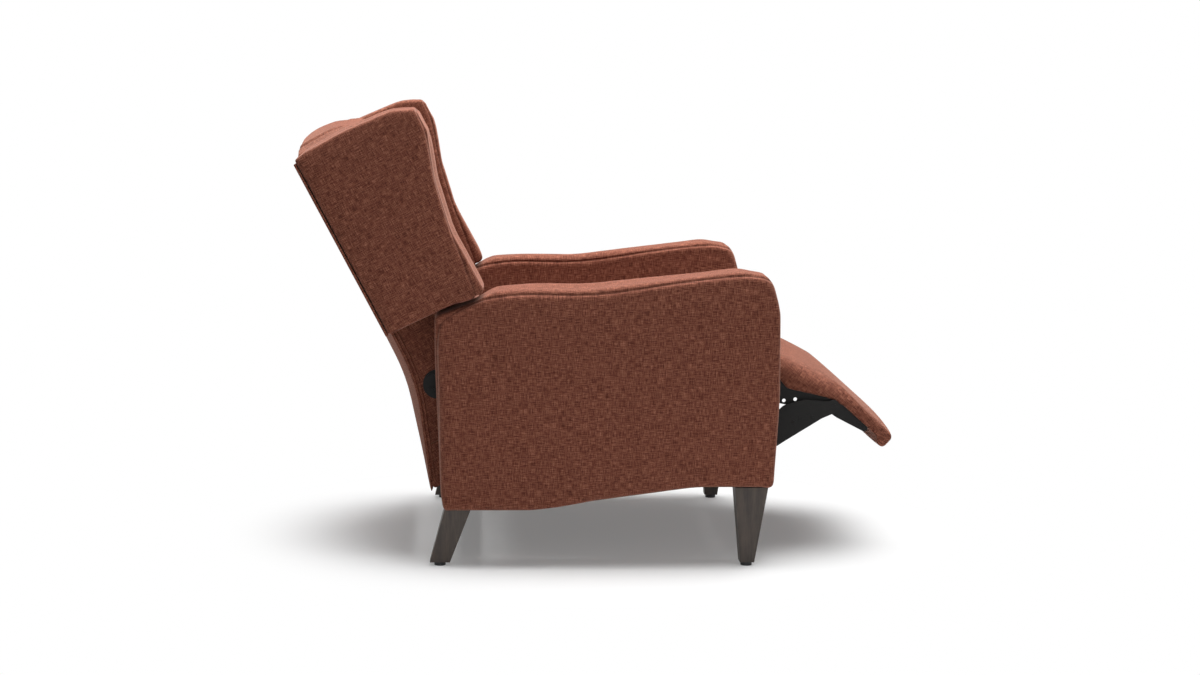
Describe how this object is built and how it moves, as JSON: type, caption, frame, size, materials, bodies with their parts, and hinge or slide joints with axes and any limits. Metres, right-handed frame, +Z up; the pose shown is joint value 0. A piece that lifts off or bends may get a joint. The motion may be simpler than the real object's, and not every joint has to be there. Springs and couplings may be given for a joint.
{
  "type": "reclining chair",
  "caption": "Push-back wing recliner with padded arms, tapered wooden legs, a gliding seat, a tipping back and a swing-out footrest on black steel links.",
  "frame": {"origin": "on the floor under the middle of the chair's reclined outline", "axes": "+Z up, +X the way the sitter faces, +Y to the sitter's left"},
  "size_m": [1.275, 0.762, 0.9561],
  "materials": {
    "upholstery": "woven rust-brown cloth over foam",
    "stained_leg": "dark stained, satin",
    "glide": "moulded black",
    "webbing": "woven elastic band",
    "frame_wood": "sawn, unfinished",
    "roller": "turned nylon",
    "spring_wire": "drawn wire",
    "zinc_steel": "zinc plated",
    "black_steel": "black, satin"
  },
  "bodies": {
    "base": {"arm_core_left": "frame_wood", "arm_core_right": "frame_wood", "arm_pad_left": "upholstery", "arm_pad_right": "upholstery", "base_plate_left": "black_steel", "base_plate_right": "black_steel", "base_plate_screws": "zinc_steel", "front_cross_rail": "frame_wood", "front_leg_left": "stained_leg", "front_leg_right": "stained_leg", "leg_bolts": "zinc_steel", "leg_glides": "glide", "rear_cross_rail": "frame_wood", "rear_leg_left": "stained_leg", "rear_leg_right": "stained_leg"},
    "back": {"back_bottom_rail": "frame_wood", "back_bracket_left": "black_steel", "back_bracket_right": "black_steel", "back_cushion": "upholstery", "back_guide_pins": "black_steel", "back_middle_rail": "frame_wood", "back_pivot_pins": "black_steel", "back_post_left": "frame_wood", "back_post_right": "frame_wood", "back_side_cover_left": "upholstery", "back_side_cover_right": "upholstery", "back_top_rail": "frame_wood", "back_webbing": "webbing", "bracket_bolts": "black_steel", "outer_back_panel": "upholstery", "wing_core_left": "frame_wood", "wing_core_right": "frame_wood", "wing_pad_left": "upholstery", "wing_pad_right": "upholstery"},
    "crank": {"crank_pivot_pins": "black_steel", "crank_tip_pins": "black_steel", "footrest_crank_left": "black_steel", "footrest_crank_right": "black_steel"},
    "footrest": {"footrest_board": "frame_wood", "footrest_bracket_left": "black_steel", "footrest_bracket_right": "black_steel", "footrest_pad": "upholstery", "footrest_pivot_pins": "black_steel", "footrest_screws": "zinc_steel"},
    "push_link": {"link_tie_tube": "black_steel", "push_link_left": "black_steel", "push_link_right": "black_steel"},
    "seat": {"seat_bolts": "zinc_steel", "seat_cushion": "upholstery", "seat_front_rail": "frame_wood", "seat_plate_left": "black_steel", "seat_plate_right": "black_steel", "seat_rear_rail": "frame_wood", "seat_roller_pins": "zinc_steel", "seat_rollers": "roller", "seat_side_rail_left": "frame_wood", "seat_side_rail_right": "frame_wood", "seat_spacers": "zinc_steel", "seat_springs": "spring_wire", "spring_clips": "spring_wire"}
  },
  "joints": [
    {"name": "seat_glide", "type": "slide", "parent": "base", "child": "seat", "axis": [0.9935, 0, 0.1135], "range_m": [-0.07046, 0]},
    {"name": "back_recline", "type": "hinge", "parent": "seat", "child": "back", "pos_m": [-0.15526, 0, 0.385], "axis": [0, 1, 0], "range_deg": [0, 18]},
    {"name": "footrest_swing", "type": "hinge", "parent": "seat", "child": "footrest", "pos_m": [0.37974, 0, 0.44], "axis": [0, 1, 0], "range_deg": [0, 48]},
    {"name": "crank_swing", "type": "hinge", "parent": "seat", "child": "crank", "pos_m": [0.21974, 0, 0.347], "axis": [0, 1, 0], "range_deg": [0, 48]},
    {"name": "link_swing", "type": "hinge", "parent": "crank", "child": "push_link", "pos_m": [0.34974, 0, 0.232], "axis": [0, 1, 0], "range_deg": [-48, 0]}
  ],
  "couplings": [
    {"joint": "back_recline", "follows": "seat_glide", "rad_per_m": -4.4589},
    {"joint": "footrest_swing", "follows": "seat_glide", "rad_per_m": -11.891},
    {"joint": "crank_swing", "follows": "seat_glide", "rad_per_m": -11.891},
    {"joint": "link_swing", "follows": "seat_glide", "rad_per_m": 11.891}
  ]
}
